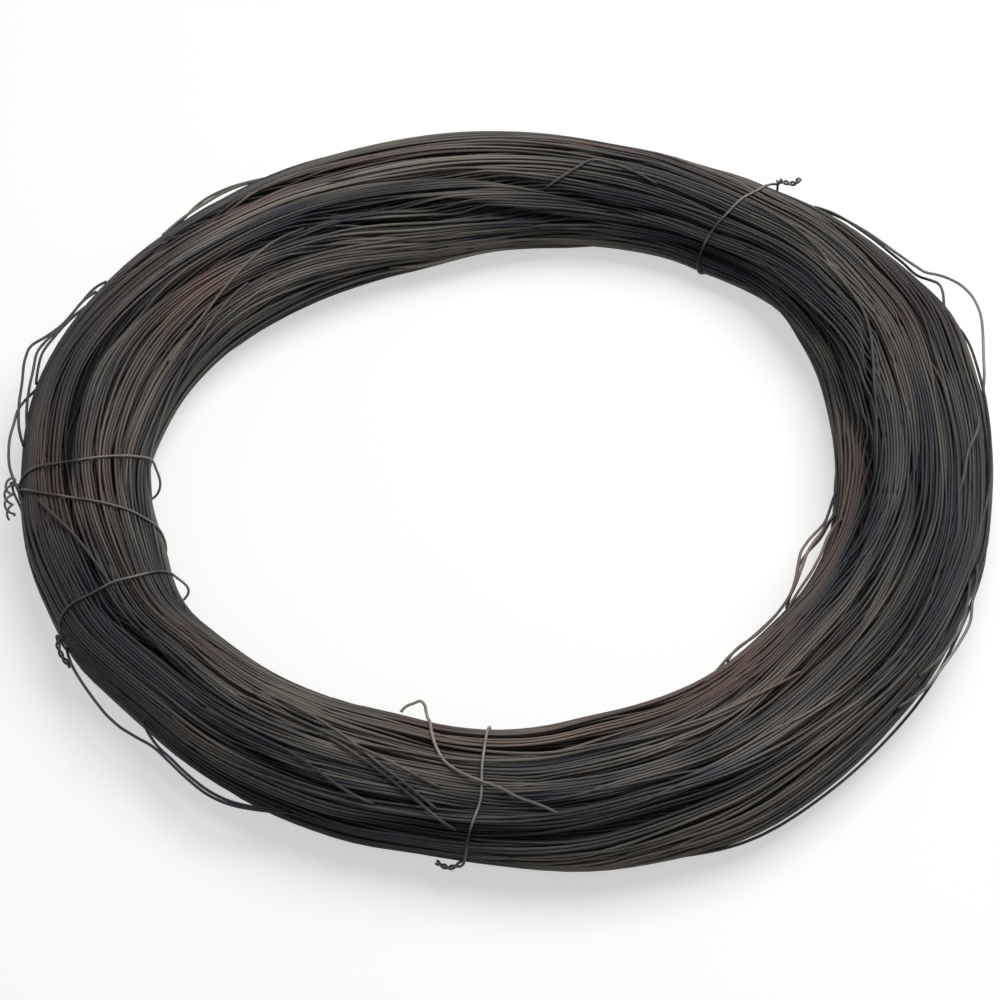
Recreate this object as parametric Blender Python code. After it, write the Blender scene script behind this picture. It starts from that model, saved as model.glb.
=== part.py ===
"""A coil of black annealed steel binding wire, lying flat on the floor.

One long wire is wound by hand into a ring bundle, and four short ties of the same wire hold it.
Units are metres, +Z is up, and the origin is on the floor under the middle of the coil.
Angles are in degrees round the coil, anticlockwise from +X as seen from above.
"""

import math
from collections import namedtuple

import bmesh
import bpy
from mathutils import Vector

# The wire, and the gap that keeps two pieces apart where they touch
WIRE = 0.0016
GAP = 0.00045

# The wound bundle, its axis set so that the whole coil lies evenly about the origin
COIL_AXIS = Vector((0.0027, 0.0025, 0))
BORE_RADIUS = 0.184
BUNDLE_WIDTH = 0.0765
BUNDLE_HEIGHT = 0.050
CORNER_POWER = 2.4
FLOOR_PRESS = 0.0012

# How the hand wound bundle strays from a true ring: lobes round it, swell, heading of the first lobe
Lobe = namedtuple("Lobe", "count swell heading")
BORE_LOBES = (Lobe(1, 0.0025, 180), Lobe(2, 0.0084, 45), Lobe(3, 0.0052, 56), Lobe(4, 0.0028, 58))
RIM_LOBES = (Lobe(2, 0.0022, 153), Lobe(3, 0.0036, 42), Lobe(4, 0.0030, 24), Lobe(5, 0.0012, 22))

# The turns on the bundle's skin: each ridge stands for a few turns that lie side by side
STATIONS = 64
RIDGES = 36
RIDGE_DEPTH = 0.0019
RIDGE_VARIETY = 0.45
VARIETY_BEATS = (2.4, 1.1)
LAY_RIDGES = 3
LAY_WANDER = 0.9
WANDER_LOBES = 3
OUTLINE_STEPS = 720

# The ties: headings where each pass crosses the rim and the bore in turn, and the way its twist points
Tie = namedtuple("Tie", "name crossings twist_way")
TIES = (
    Tie("tie_left", (184.0, 184.0, 187.0, 197.0, 190.0), 1),
    Tie("tie_front_left", (205.0, 208.0, 205.0), 1),
    Tie("tie_front", (265.5, 267.5, 265.5), -1),
    Tie("tie_back_right", (55.0, 54.0, 55.0), -1),
)
TIE_POINTS = 36
TIE_START = 0.05
PINCH_FALL = 8.0
TWIST_GAP = 0.0003
TWIST_PITCH = 0.0090
TWIST_TURNS = 2.25
TWIST_TILT = 14.0
TWIST_STEPS = 8
TWIST_LEAD = 0.0045
JOIN_POINTS = 5
JOIN_REACH = 0.4
BEVEL_RESOLUTION = 1

# Turns that have sprung loose: headings of both ends, side of the section they lie on, and bulge
LooseTurn = namedtuple("LooseTurn", "start end turn bulge peak")
LOOSE_TURNS = (
    LooseTurn(51, 8, 0.06, 0.0150, 0.60),
    LooseTurn(205, 243, 0.03, 0.0110, 0.45),
    LooseTurn(143, 178, 0.05, 0.0100, 0.60),
    LooseTurn(309, 349, 0.44, 0.0060, 0.55),
)
LOOSE_POINTS = 22
LOOSE_BURY = 0.0030

# Finish: steel annealed in coal or gas fire, with its dull grey black scale
SCALE_GREY = (0.047, 0.041, 0.037)
TIE_GREY = (0.085, 0.078, 0.068)
ROUGHNESS = 0.48
METALLIC = 0.85

RIM_RADIUS = BORE_RADIUS + BUNDLE_WIDTH
PINCH = FLOOR_PRESS + WIRE + 2 * GAP
STATION_STEP = 360.0 / STATIONS
SKIN_POINTS = 2 * RIDGES


def clear_scene():
    for obj in list(bpy.data.objects):
        bpy.data.objects.remove(obj)


def steel(name, colour):
    """Annealed steel wire with its scale left on."""
    material = bpy.data.materials.new(name)
    material.use_nodes = True
    shader = material.node_tree.nodes["Principled BSDF"]
    shader.inputs["Base Color"].default_value = (*colour, 1.0)
    shader.inputs["Roughness"].default_value = ROUGHNESS
    shader.inputs["Metallic"].default_value = METALLIC
    return material


def heading(angle):
    """The level direction that points away from the coil's axis at this angle."""
    return Vector((math.cos(math.radians(angle)), math.sin(math.radians(angle)), 0))


def turned(angle, radius, height):
    """The point at this angle round the coil, distance from its axis and height."""
    return COIL_AXIS + radius * heading(angle) + Vector((0, 0, height))


def swell(angle, lobes):
    """How far an outline stands out at this angle: the sum of its lobes."""
    return sum(lobe.swell * math.cos(lobe.count * math.radians(angle - lobe.heading)) for lobe in lobes)


def signed_power(value, power):
    return math.copysign(abs(value) ** power, value)


def section_frame(turn):
    """How far across and up a point of the section lies, from -1 to 1: turn 0 is the rim, 0.25 the top."""
    round_it = 2 * math.pi * turn
    across = signed_power(math.cos(round_it), 2 / CORNER_POWER)
    up = signed_power(math.sin(round_it), 2 / CORNER_POWER)
    return across, up


def tie_heading(tie, half_pass, turn):
    """Where a tie's wire is headed in one of its half passes, over or under the bundle."""
    across, _ = section_frame(turn)
    share = (1 + across) / 2 if half_pass % 2 else (1 - across) / 2
    first, second = tie.crossings[half_pass : half_pass + 2]
    return first + (second - first) * share


def pinch(angle, turn):
    """How far the ties draw the bundle's skin in at this place."""
    deepest = 0.0
    over = turn % 1.0 < 0.5
    for tie in TIES:
        for half_pass in range(len(tie.crossings) - 1):
            if over != (half_pass % 2 == 0):
                continue
            away = abs((angle - tie_heading(tie, half_pass, turn) + 180) % 360 - 180)
            fall = min(max((away - STATION_STEP) / PINCH_FALL, 0.0), 1.0)
            deepest = max(deepest, PINCH * (1 + math.cos(math.pi * fall)) / 2)
    return deepest


def skin(angle, turn, sink=0.0):
    """Distance from the axis and height of the bundle's skin, less what it is sunk in by."""
    bore = BORE_RADIUS + swell(angle, BORE_LOBES)
    rim = RIM_RADIUS + swell(angle, RIM_LOBES)
    across, up = section_frame(turn)
    sink += pinch(angle, turn)
    half_height = (BUNDLE_HEIGHT + FLOOR_PRESS) / 2
    radius = (bore + rim) / 2 + ((rim - bore) / 2 - sink) * across
    height = half_height - FLOOR_PRESS + (half_height - sink) * up
    return radius, max(height, 0.0)


def even_turns(count):
    """Turns round the section that space this many points evenly along its outline."""
    outline = []
    for step in range(OUTLINE_STEPS + 1):
        across, up = section_frame(step / OUTLINE_STEPS)
        outline.append(Vector((across * BUNDLE_WIDTH / 2, up * BUNDLE_HEIGHT / 2)))
    lengths = [0.0]
    for before, after in zip(outline, outline[1:]):
        lengths.append(lengths[-1] + (after - before).length)
    turns = []
    step = 0
    for index in range(count):
        wanted = lengths[-1] * index / count
        while lengths[step + 1] < wanted:
            step += 1
        part_step = (wanted - lengths[step]) / (lengths[step + 1] - lengths[step])
        turns.append((step + part_step) / OUTLINE_STEPS)
    return turns


def ridge_depth(valley):
    """Each valley between two ridges has its own depth, by a rule that never quite repeats."""
    quick, slow = VARIETY_BEATS
    return RIDGE_DEPTH * (1 + RIDGE_VARIETY * math.sin(quick * valley) * math.cos(slow * valley))


def bundle_mesh():
    """The wound bundle as a skin of ridges that climb round the section as they go round the coil."""
    spaced = even_turns(SKIN_POINTS)
    spaced.append(1.0)
    shape = bmesh.new()
    rings = []
    for station in range(STATIONS):
        angle = station * STATION_STEP
        climb = 2 * LAY_RIDGES * station / STATIONS
        climb += LAY_WANDER * math.sin(math.radians(WANDER_LOBES * angle))
        ring = []
        for index in range(SKIN_POINTS):
            place = (index + climb) % SKIN_POINTS
            before = int(place)
            turn = spaced[before] + (spaced[before + 1] - spaced[before]) * (place - before)
            sink = ridge_depth(index // 2) if index % 2 else 0.0
            ring.append(shape.verts.new(turned(angle, *skin(angle, turn, sink))))
        rings.append(ring)
    for station, ring in enumerate(rings):
        following = rings[(station + 1) % STATIONS]
        shift = 2 * LAY_RIDGES if station == STATIONS - 1 else 0
        for index in range(SKIN_POINTS):
            left = (index + 1) % SKIN_POINTS
            shape.faces.new(
                (
                    ring[index],
                    following[(index + shift) % SKIN_POINTS],
                    following[(left + shift) % SKIN_POINTS],
                    ring[left],
                )
            )
    bmesh.ops.recalc_face_normals(shape, faces=shape.faces)
    mesh = bpy.data.meshes.new("wire_coil")
    shape.to_mesh(mesh)
    shape.free()
    return mesh


def over_skin(angle, turn, lift):
    """A point this far off the bundle's facets, which run straight from one station to the next."""
    station = math.floor(angle / STATION_STEP)
    share = angle / STATION_STEP - station
    ends = []
    outward = Vector((0, 0, 0))
    for end in (station * STATION_STEP, (station + 1) * STATION_STEP):
        ends.append(turned(end, *skin(end, turn)))
        radius_before, height_before = skin(end, turn - 1 / OUTLINE_STEPS)
        radius_after, height_after = skin(end, turn + 1 / OUTLINE_STEPS)
        outward += (height_after - height_before) * heading(angle)
        outward.z += radius_before - radius_after
    return ends[0].lerp(ends[1], share) + lift * outward.normalized()


def wire_object(name, points):
    """One length of wire through the points, as a round tube with closed ends."""
    curve = bpy.data.curves.new(name, "CURVE")
    curve.dimensions = "3D"
    curve.bevel_depth = WIRE / 2
    curve.bevel_resolution = BEVEL_RESOLUTION
    curve.use_fill_caps = True
    spline = curve.splines.new("POLY")
    spline.points.add(len(points) - 1)
    for place, point in zip(spline.points, points):
        place.co = (*point, 1.0)
    obj = bpy.data.objects.new(name, curve)
    bpy.context.scene.collection.objects.link(obj)
    return obj


def joined_by_bend(start, start_way, end, end_way):
    """The points between two ends of wire, on one smooth bend that leaves and meets them in line."""
    reach = JOIN_REACH * (end - start).length
    first = start + reach * start_way.normalized()
    second = end - reach * end_way.normalized()
    points = []
    for step in range(1, JOIN_POINTS + 1):
        t = step / (JOIN_POINTS + 1)
        rest = 1 - t
        points.append(rest**3 * start + 3 * rest**2 * t * first + 3 * rest * t**2 * second + t**3 * end)
    return points


def twist_strand(tie, side):
    """One of the two strands of a tie's twisted end, which stands off the rim and points along it."""
    passes = (len(tie.crossings) - 1) // 2
    place = tie.crossings[-1] + tie.twist_way * math.degrees(TWIST_LEAD / RIM_RADIUS)
    strand_radius = (WIRE + TWIST_GAP) / 2
    stand_off = WIRE * passes + GAP + 2 * strand_radius
    root = over_skin(place, 0.0, stand_off)
    outward = heading(place)
    along_rim = tie.twist_way * heading(place + 90)
    tilt = math.radians(TWIST_TILT)
    axis = math.cos(tilt) * along_rim + math.sin(tilt) * outward
    up = Vector((0, 0, 1))
    out = math.cos(tilt) * outward - math.sin(tilt) * along_rim
    points = []
    for step in range(int(TWIST_TURNS * TWIST_STEPS) + 1):
        turn = 2 * math.pi * step / TWIST_STEPS
        swing = side * (math.cos(turn) * up + math.sin(turn) * out)
        points.append(root + axis * TWIST_PITCH * step / TWIST_STEPS + strand_radius * swing)
    return points


def tie_object(tie):
    """A tie: it is wrapped once or twice round the bundle, and its ends are twisted together."""
    half_passes = len(tie.crossings) - 1
    loop = []
    for half_pass in range(half_passes):
        for step in range(TIE_POINTS // 2):
            turn = (half_pass % 2 + 2 * step / TIE_POINTS) / 2
            whole_turn = half_pass // 2 + turn
            if TIE_START < whole_turn < half_passes / 2 - TIE_START:
                loop.append(over_skin(tie_heading(tie, half_pass, turn), turn, WIRE / 2 + GAP))
    upper = twist_strand(tie, 1)
    lower = twist_strand(tie, -1)
    head = joined_by_bend(upper[0], upper[0] - upper[1], loop[0], loop[1] - loop[0])
    tail = joined_by_bend(loop[-1], loop[-1] - loop[-2], lower[0], lower[1] - lower[0])
    obj = wire_object(tie.name, upper[::-1] + head + loop + tail + lower)
    obj.data.materials.append(steel(tie.name + "_steel", TIE_GREY))
    return obj


def loose_turn(number, loose):
    """A turn that has sprung out of the bundle: both its ends run back in among the others."""
    points = []
    for step in range(LOOSE_POINTS + 1):
        share = step / LOOSE_POINTS
        angle = loose.start + (loose.end - loose.start) * share
        skewed = share ** (math.log(0.5) / math.log(loose.peak))
        lift = (loose.bulge + LOOSE_BURY) * math.sin(math.pi * skewed) - LOOSE_BURY
        points.append(over_skin(angle, loose.turn, lift))
    obj = wire_object(f"loose_turn_{number}", points)
    bpy.context.view_layer.objects.active = obj
    obj.select_set(True)
    bpy.ops.object.convert(target="MESH")
    obj.select_set(False)
    obj.hide_render = True
    obj.display_type = "WIRE"
    return obj


def wire_coil():
    """The coil itself: the wound bundle, joined with the turns that have sprung loose from it."""
    mesh = bundle_mesh()
    mesh.shade_smooth()
    mesh.materials.append(steel("annealed_wire", SCALE_GREY))
    coil = bpy.data.objects.new("wire_coil", mesh)
    bpy.context.scene.collection.objects.link(coil)
    for number, loose in enumerate(LOOSE_TURNS, 1):
        union = coil.modifiers.new(f"loose_turn_{number}", "BOOLEAN")
        union.operation = "UNION"
        union.object = loose_turn(number, loose)
    return coil


def main():
    clear_scene()
    wire_coil()
    for tie in TIES:
        tie_object(tie)


main()
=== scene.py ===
import math
from collections import namedtuple

import bpy
import numpy as np
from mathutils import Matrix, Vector
from mathutils.bvhtree import BVHTree


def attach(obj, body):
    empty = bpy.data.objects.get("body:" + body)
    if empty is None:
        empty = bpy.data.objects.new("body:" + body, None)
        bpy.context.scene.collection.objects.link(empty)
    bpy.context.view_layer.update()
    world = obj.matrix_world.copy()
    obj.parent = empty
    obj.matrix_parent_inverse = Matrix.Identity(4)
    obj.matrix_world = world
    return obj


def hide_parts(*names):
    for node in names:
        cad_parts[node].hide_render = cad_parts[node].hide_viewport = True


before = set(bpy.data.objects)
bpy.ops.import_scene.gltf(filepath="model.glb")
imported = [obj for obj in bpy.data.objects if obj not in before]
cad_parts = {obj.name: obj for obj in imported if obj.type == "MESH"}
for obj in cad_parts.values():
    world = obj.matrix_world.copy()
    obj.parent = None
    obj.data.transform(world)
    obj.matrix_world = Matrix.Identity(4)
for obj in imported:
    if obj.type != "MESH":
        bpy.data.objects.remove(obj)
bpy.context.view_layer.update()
bpy.ops.object.select_all(action="DESELECT")

# Lengths are metres, but the tables give heights over the skin in millimetres. A heading is degrees about
# the coil's axis, 0 at the photo's right and 90 at its far side. A turn is a share of the way round the
# bundle's section: 0 rim, 0.25 top, 0.5 bore, 0.75 underside
WIRE = 0.0016
TIE_WIRE = 0.0014
AXIS = np.array((0.0027, 0.0025, 0.0))
MIDDLE_HEIGHT = 0.0244

# How finely the wound wire is followed: stations round the coil, and places round its section
STATIONS = 150
AROUND = 96
ANGLES = 2 * np.pi * np.arange(STATIONS) / STATIONS
HEADINGS = np.stack([np.cos(ANGLES), np.sin(ANGLES), np.zeros(STATIONS)], axis=1)

# All that is drawn by chance comes from this seed
SEED = 7

# Where the hand wound bundle swells past its even shape or falls short of it, over so many degrees: on
# its rim, and in its bore above and below the middle
Swell = namedtuple("Swell", "heading reach rim bore bore_low")
SWELLS = [Swell(*row) for row in (
    (5, 10, 0, 0.0012, 0.0012),
    (17, 9, 0, 0, 0.0033),
    (24, 7, 0.0042, 0, 0),
    (40, 5, 0, 0, -0.0046),
    (50, 9, 0.0055, 0, 0),
    (56, 9, 0, 0, 0.0088),
    (59, 4.5, 0.0036, 0, 0),
    (75, 6, -0.0018, 0, 0),
    (96, 15, 0.0027, 0, 0),
    (105, 9, 0, 0, 0.0028),
    (122, 7, 0.002, 0, 0),
    (195, 14, 0.0018, 0.005, 0.005),
    (198, 5, 0, 0.0012, 0.0012),
    (209, 6, 0.003, 0, 0),
    (222, 8, -0.004, 0, 0),
    (260, 24, 0, 0.006, 0.004),
    (272, 13, 0.003, 0, 0),
    (296, 7, 0.0022, 0, 0),
    (314, 10, -0.0016, 0, 0),
    (318, 13, 0, 0.003, 0.003),
    (346, 6, 0.0018, 0, 0),
)]
# The bore's lower part reaches up to this height over the middle, and blends into the upper one above that
LOW_BORE = -0.014
BORE_BLEND = 0.012

# The layers of turns that are wound one by one, from the skin down: how deep each layer lies, how far
# apart its turns are, how many places on the next turn is laid, how much it follows the bundle's roll, and
# how far it drifts and gathers by itself
Layer = namedtuple("Layer", "depth pitch stride roll drift gather")
LAYERS = (
    Layer(0.0008, 0.00195, 5, 1.00, 0.0030, 0.0011),
    Layer(0.0024, 0.00205, 7, 0.90, 0.0050, 0.0010),
    Layer(0.0040, 0.0023, 7, 0.75, 0.0060, 0.0005),
    Layer(0.0056, 0.0024, 7, 0.60, 0.0060, 0.0),
)
# Each starts on the underside. Its drift swings about so often round the coil and round the section
FIRST_TURN = -0.25
DRIFT_SWINGS = (3, 3)

# The core under them, with a ridge for each turn that shows through. It takes every second station
CORE_DEPTH = 0.0072
CORE_RIDGES = 110
CORE_RIDGE_HEIGHT = 0.0005
CORE_STEP = 2

# How the turns roll about the bundle as they go round: waves over its skin, and how far each moves them
Roll = namedtuple("Roll", "waves_round waves_across amount heading")
ROLLS = [Roll(*row) for row in (
    (1, 0, 0.0115, 28),
    (1, -1, 0.0043, 307),
    (3, 1, 0.003, 15),
    (2, -1, 0.0021, 10),
    (4, -1, 0.0017, 110),
    (3, 0, 0.0015, 137),
    (2, 0, 0.0014, 215),
    (1, 1, 0.0012, 297),
    (2, 1, 0.0009, 266),
    (4, 1, 0.0008, 154),
)]

# Each turn's own straying, across the bundle and into it, with its swings a turn
WANDER = 0.0014
WANDER_SWINGS = 3.0
KINK = 0.00022
KINK_SWINGS = 11.0
WANDER_DEPTH = 0.0004
WANDER_DEPTH_SWINGS = 4.0

# Hollows between bundled turns: their depth at one standard deviation, and a limit in those deviations
HOLLOW_DEPTH = 0.0018
HOLLOW_LIMIT = 2.2
HOLLOW_SWINGS = (4, 19)

# Grooves between bundled turns, with their places as heading and turn. They fade out over so many degrees
# at their ends, and push the turns beside them aside by so many times their distance from the middle
GROOVE_FADE = 12.0
GROOVE_PUSH = 1.3
Groove = namedtuple("Groove", "depth width places")
GROOVES = (
    Groove(0.0038, 0.004, ((248, 0.03), (256, 0.05), (264, 0.06), (272, 0.068), (280, 0.08), (287, 0.1),
        (294, 0.12))),
    Groove(0.003, 0.0022, ((222, 0.145), (232, 0.14), (240, 0.13), (248, 0.115), (256, 0.125), (264, 0.145),
        (272, 0.16), (280, 0.155), (288, 0.17), (296, 0.19), (306, 0.21))),
    Groove(0.0034, 0.0032, ((72, 0.49), (80, 0.465), (88, 0.435), (96, 0.4), (104, 0.365), (112, 0.335),
        (120, 0.318), (129, 0.32), (135, 0.305), (142, 0.283), (150, 0.262), (158, 0.24), (168, 0.215),
        (178, 0.206), (187, 0.2), (195, 0.195))),
    Groove(0.0038, 0.0035, ((330, 0.365), (344, 0.37), (354, 0.375), (361, 0.385), (368, 0.415),
        (376, 0.43), (384, 0.43), (394, 0.45), (406, 0.47))),
    Groove(0.0026, 0.0022, ((340, 0.237), (348, 0.243), (355, 0.257), (362, 0.27))),
    Groove(0.0034, 0.0028, ((36, 0.35), (48, 0.375), (56, 0.395), (64, 0.395), (72, 0.41), (80, 0.38),
        (88, 0.34), (96, 0.3), (104, 0.275), (114, 0.255))),
    Groove(0.0018, 0.002, ((2, 0.375), (10, 0.36), (16, 0.345), (24, 0.32), (32, 0.31))),
    Groove(0.0026, 0.0025, ((268, 0.24), (281, 0.22), (292, 0.241), (300, 0.25))),
    Groove(0.0026, 0.002, ((220, 0.273), (232, 0.266), (244, 0.281), (252, 0.28))),
    Groove(0.0026, 0.0025, ((206, 0.4), (214, 0.42), (224, 0.43))),
    Groove(0.0026, 0.0024, ((194, 0.16), (202, 0.16), (210, 0.18), (218, 0.21), (228, 0.205))),
    Groove(0.0028, 0.0025, ((326, 0.28), (335, 0.285), (342, 0.26))),
)

# Loose turns that stand off the bundle and strays that lie across it: heading, turn and height over the
# skin. Both ends of each run back in among the other turns
LOOSE_TURNS = {
    "right": (
        (7, 0.05, -3), (11.2, 0.05, 0.8), (13, 0.05, 3.4), (15.2, 0.05, 5.8), (18.6, 0.05, 10.1),
        (20.7, 0.05, 12.8), (23.3, 0.05, 14.5), (25.6, 0.05, 14.4), (28.1, 0.05, 12),
        (29.7, 0.05, 9), (30.9, 0.05, 6), (32.2, 0.05, 5.2), (35.1, 0.05, 4.2), (40.7, 0.05, 3.4),
        (45.3, 0.05, 1.8), (51, 0.055, -2.6),
    ),
    "right_small": (
        (21.5, 0.05, -3), (25.7, 0.05, -0.3), (27.2, 0.05, 3.9), (28.5, 0.05, 5.9),
        (29.5, 0.05, 4.6), (30.5, 0.055, 2.2), (33.9, 0.06, 1.6), (40.3, 0.065, 1.6), (46, 0.07, 0.8),
        (50, 0.075, -2.6),
    ),
    "lower_left": (
        (207, 0, -3), (210.1, 0, 2), (214.3, 0, 6.9), (217.3, 0, 9.7), (220, 0, 11.6),
        (222.5, 0, 11.4), (224.6, 0, 9.5), (226.6, 0, 7.5), (229.3, 0, 7.8), (232.7, 0, 9.6),
        (235.7, 0, 11), (238.3, 0, 10), (241.2, 0, 6), (246, 0, -2.6),
    ),
    "lower_left_near": (
        (221.5, 0, -2.8), (224.5, 0, 3.2), (227, 0, 5.6), (229.3, 0, 6), (232.7, 0, 7.8),
        (235.7, 0, 9), (238.3, 0, 8.2), (241.2, 0, 4.6), (245, 0, -2.6),
    ),
    "upper_left": (
        (147, 0.04, -2.6), (150.2, 0.04, 2.5), (153.8, 0.04, 2.9), (158.1, 0.04, 4.1),
        (160.5, 0.04, 7.6), (162.8, 0.04, 11.9), (164.7, 0.04, 11.2), (168.1, 0.04, 7.6),
        (172.3, 0.04, 5.2), (175.3, 0.04, 3), (179, 0.04, -2.6),
    ),
    "upper_left_second": (
        (149, 0.05, -2.6), (153, 0.05, 1.8), (158.6, 0.05, 2.9), (161.2, 0.05, 5.7),
        (163.6, 0.05, 7), (166, 0.05, 4.9), (169.6, 0.05, 3), (173.6, 0.05, 1),
        (178, 0.05, -2.6),
    ),
    "upper_left_third": (
        (152, 0.065, -2.6), (156.5, 0.06, 1.2), (160.7, 0.055, 3.2), (163.1, 0.05, 4),
        (166, 0.05, 1.8), (170, 0.05, -2.6),
    ),
    "left": (
        (168, 0.03, -1), (172.3, 0.03, 5.8), (174.2, 0.03, 6.4), (176.6, 0.03, 7.6),
        (178.6, 0.03, 7.6), (180.9, 0.03, 6.8), (184, 0.03, 3), (188, 0.03, -2.6),
    ),
    "bore": (
        (305, 0.44, -2.6), (309, 0.44, 2), (315.1, 0.44, 1.4), (321, 0.44, 2),
        (325.6, 0.44, 4), (328.5, 0.44, 7), (331.3, 0.44, 10.3), (333.8, 0.443, 11.7),
        (336.3, 0.445, 11.1), (340, 0.455, 8.4), (342.7, 0.465, 5.9), (345.5, 0.475, 3.6),
        (349.2, 0.485, 2.2), (352.1, 0.49, 1.1), (357, 0.49, -2.6),
    ),
    "bore_second": (
        (304, 0.45, -2.6), (308.3, 0.45, 1), (315.7, 0.45, 1.4), (321.6, 0.45, 1.6),
        (326.5, 0.45, 3.4), (331.8, 0.45, 6.6), (335.6, 0.45, 8), (338.2, 0.45, 7.2),
        (341.6, 0.46, 4.6), (344.9, 0.47, 2.4), (349, 0.47, -2.6),
    ),
    "bore_third": (
        (320, 0.43, -2.6), (326, 0.43, 1.4), (331.8, 0.425, 3), (335.6, 0.42, 4.4),
        (338.2, 0.42, 5), (341.6, 0.425, 2.8), (346, 0.43, -2.6),
    ),
    "bore_fourth": (
        (322, 0.47, -2.6), (326, 0.47, 2.2), (330, 0.475, 5.2), (334, 0.48, 8.2), (338, 0.48, 7),
        (342, 0.485, 3.6), (346, 0.49, 1.2), (351, 0.49, -2.6),
    ),
    "lower_right": (
        (319, 0.03, -2.6), (323.2, 0.03, 4), (326.9, 0.03, 5.3), (330.9, 0.03, 7),
        (334.2, 0.03, 7.3), (337.7, 0.03, 3.5), (340, 0.03, 2.2), (344, 0.03, -2.6),
    ),
    "lower_right_second": (
        (323, 0.04, -2.6), (327, 0.04, 2.6), (330.5, 0.04, 4.6), (333.7, 0.04, 4.8),
        (336.8, 0.04, 2.2), (341, 0.04, -2.6),
    ),
    "far_left": (
        (121, 0.06, -2.6), (125, 0.06, 0.9), (126.8, 0.06, 2.4), (128.7, 0.06, 3.4),
        (130.7, 0.06, 3.8), (132.6, 0.06, 3.1), (134.7, 0.06, 1.1), (139, 0.06, -2.6),
    ),
    "far_left_second": (
        (122, 0.075, -2.6), (126.2, 0.075, 0.9), (129, 0.07, 1.8), (131.5, 0.07, 1.6),
        (135, 0.07, 0.8), (140, 0.07, -2.6),
    ),
    "stray_near": (
        (243, 0.262, -2.6), (248.3, 0.226, 1.1), (254.7, 0.174, 1.1), (259.2, 0.125, 1.1),
        (262.5, 0.084, 1), (266, 0.05, -2.6),
    ),
    "stray_near_second": (
        (232, 0.305, -2.6), (237.6, 0.296, 0.8), (241.8, 0.287, 1.1), (246, 0.267, 1.1),
        (250.2, 0.237, 1.1), (253.8, 0.2, 1.1), (257.4, 0.163, 1), (262, 0.11, -2.6),
    ),
    "stray_near_third": (
        (230, 0.16, -2.6), (234.6, 0.163, 0.8), (238.8, 0.163, 1.1), (243.6, 0.158, 1.1),
        (247.2, 0.138, 1.1), (250.8, 0.113, 1), (256, 0.085, -2.6),
    ),
    "stray_near_fourth": (
        (230, 0.245, -2.6), (234.6, 0.25, 0.9), (241.8, 0.254, 1.1), (249, 0.237, 1.1),
        (256.2, 0.204, 1), (262, 0.172, -2.6),
    ),
    "stray_far": (
        (66, 0.3, -2.4), (68.5, 0.292, 0.9), (71.3, 0.274, 1.1), (75, 0.255, 1.1),
        (78, 0.256, 1.1), (79.6, 0.289, 1.1), (81.9, 0.33, 0.9), (85, 0.37, -2.6),
    ),
    "stray_far_right": (
        (35, 0.29, -2.6), (38.6, 0.282, 1), (41.7, 0.277, 1.1), (47.5, 0.265, 1.1),
        (51.7, 0.257, 1), (56.5, 0.25, -2.2),
    ),
    "stray_right": (
        (336, 0.118, -2.6), (344.7, 0.131, 1.1), (349.6, 0.145, 1.2), (356.3, 0.155, 1.2),
        (363.3, 0.167, 1.1), (369.9, 0.178, 1), (375, 0.19, -2.6),
    ),
    "stray_right_short": (
        (349, 0.15, -2.6), (352.5, 0.144, 2.6), (358, 0.133, 2.6), (362.4, 0.105, 1.2),
        (367, 0.08, -2.6),
    ),
    "stray_left": (
        (187, 0.1, -2.6), (190.4, 0.135, 1), (196, 0.19, 1.1), (203.4, 0.227, 0.9),
        (209, 0.25, -2.6),
    ),
}
# None stands further off the skin than this. They are drawn at this share of the step between stations
LOOSE_REACH = 0.03
FINE_STEP = 0.25

# More strays at random all round the coil, each at these heights over the skin along its way
STRAYS = 14
STRAY_HEIGHTS = (-2.6, 0.6, 1.1, 1.1, 1.1, 0.6, -2.6)

# The free end of the wire, which stands up in a hook over the bore: heading, turn, and height over the skin
FREE_END = (
    (276, 0.125, -2.6), (273.4, 0.148, 0.6), (271.1, 0.164, 1.1), (268.6, 0.186, 2.4),
    (266.4, 0.2, 2.6), (263.1, 0.229, 1.3), (261.4, 0.255, 1), (260, 0.294, 1),
    (258.7, 0.351, 1), (257.9, 0.4, 1), (257.2, 0.43, 1.2), (256.8, 0.435, 3.6),
    (256.3, 0.435, 7), (255.6, 0.435, 8.3), (254.7, 0.435, 6.6), (253.3, 0.435, 3.2),
    (252.9, 0.435, 0.6),
)
# It gets painted light, as bright as a turn that stands this far off the skin
FREE_END_PAINTED_LIGHT_DEPTH = -0.005
FREE_END_SPACING = 0.0012

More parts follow.
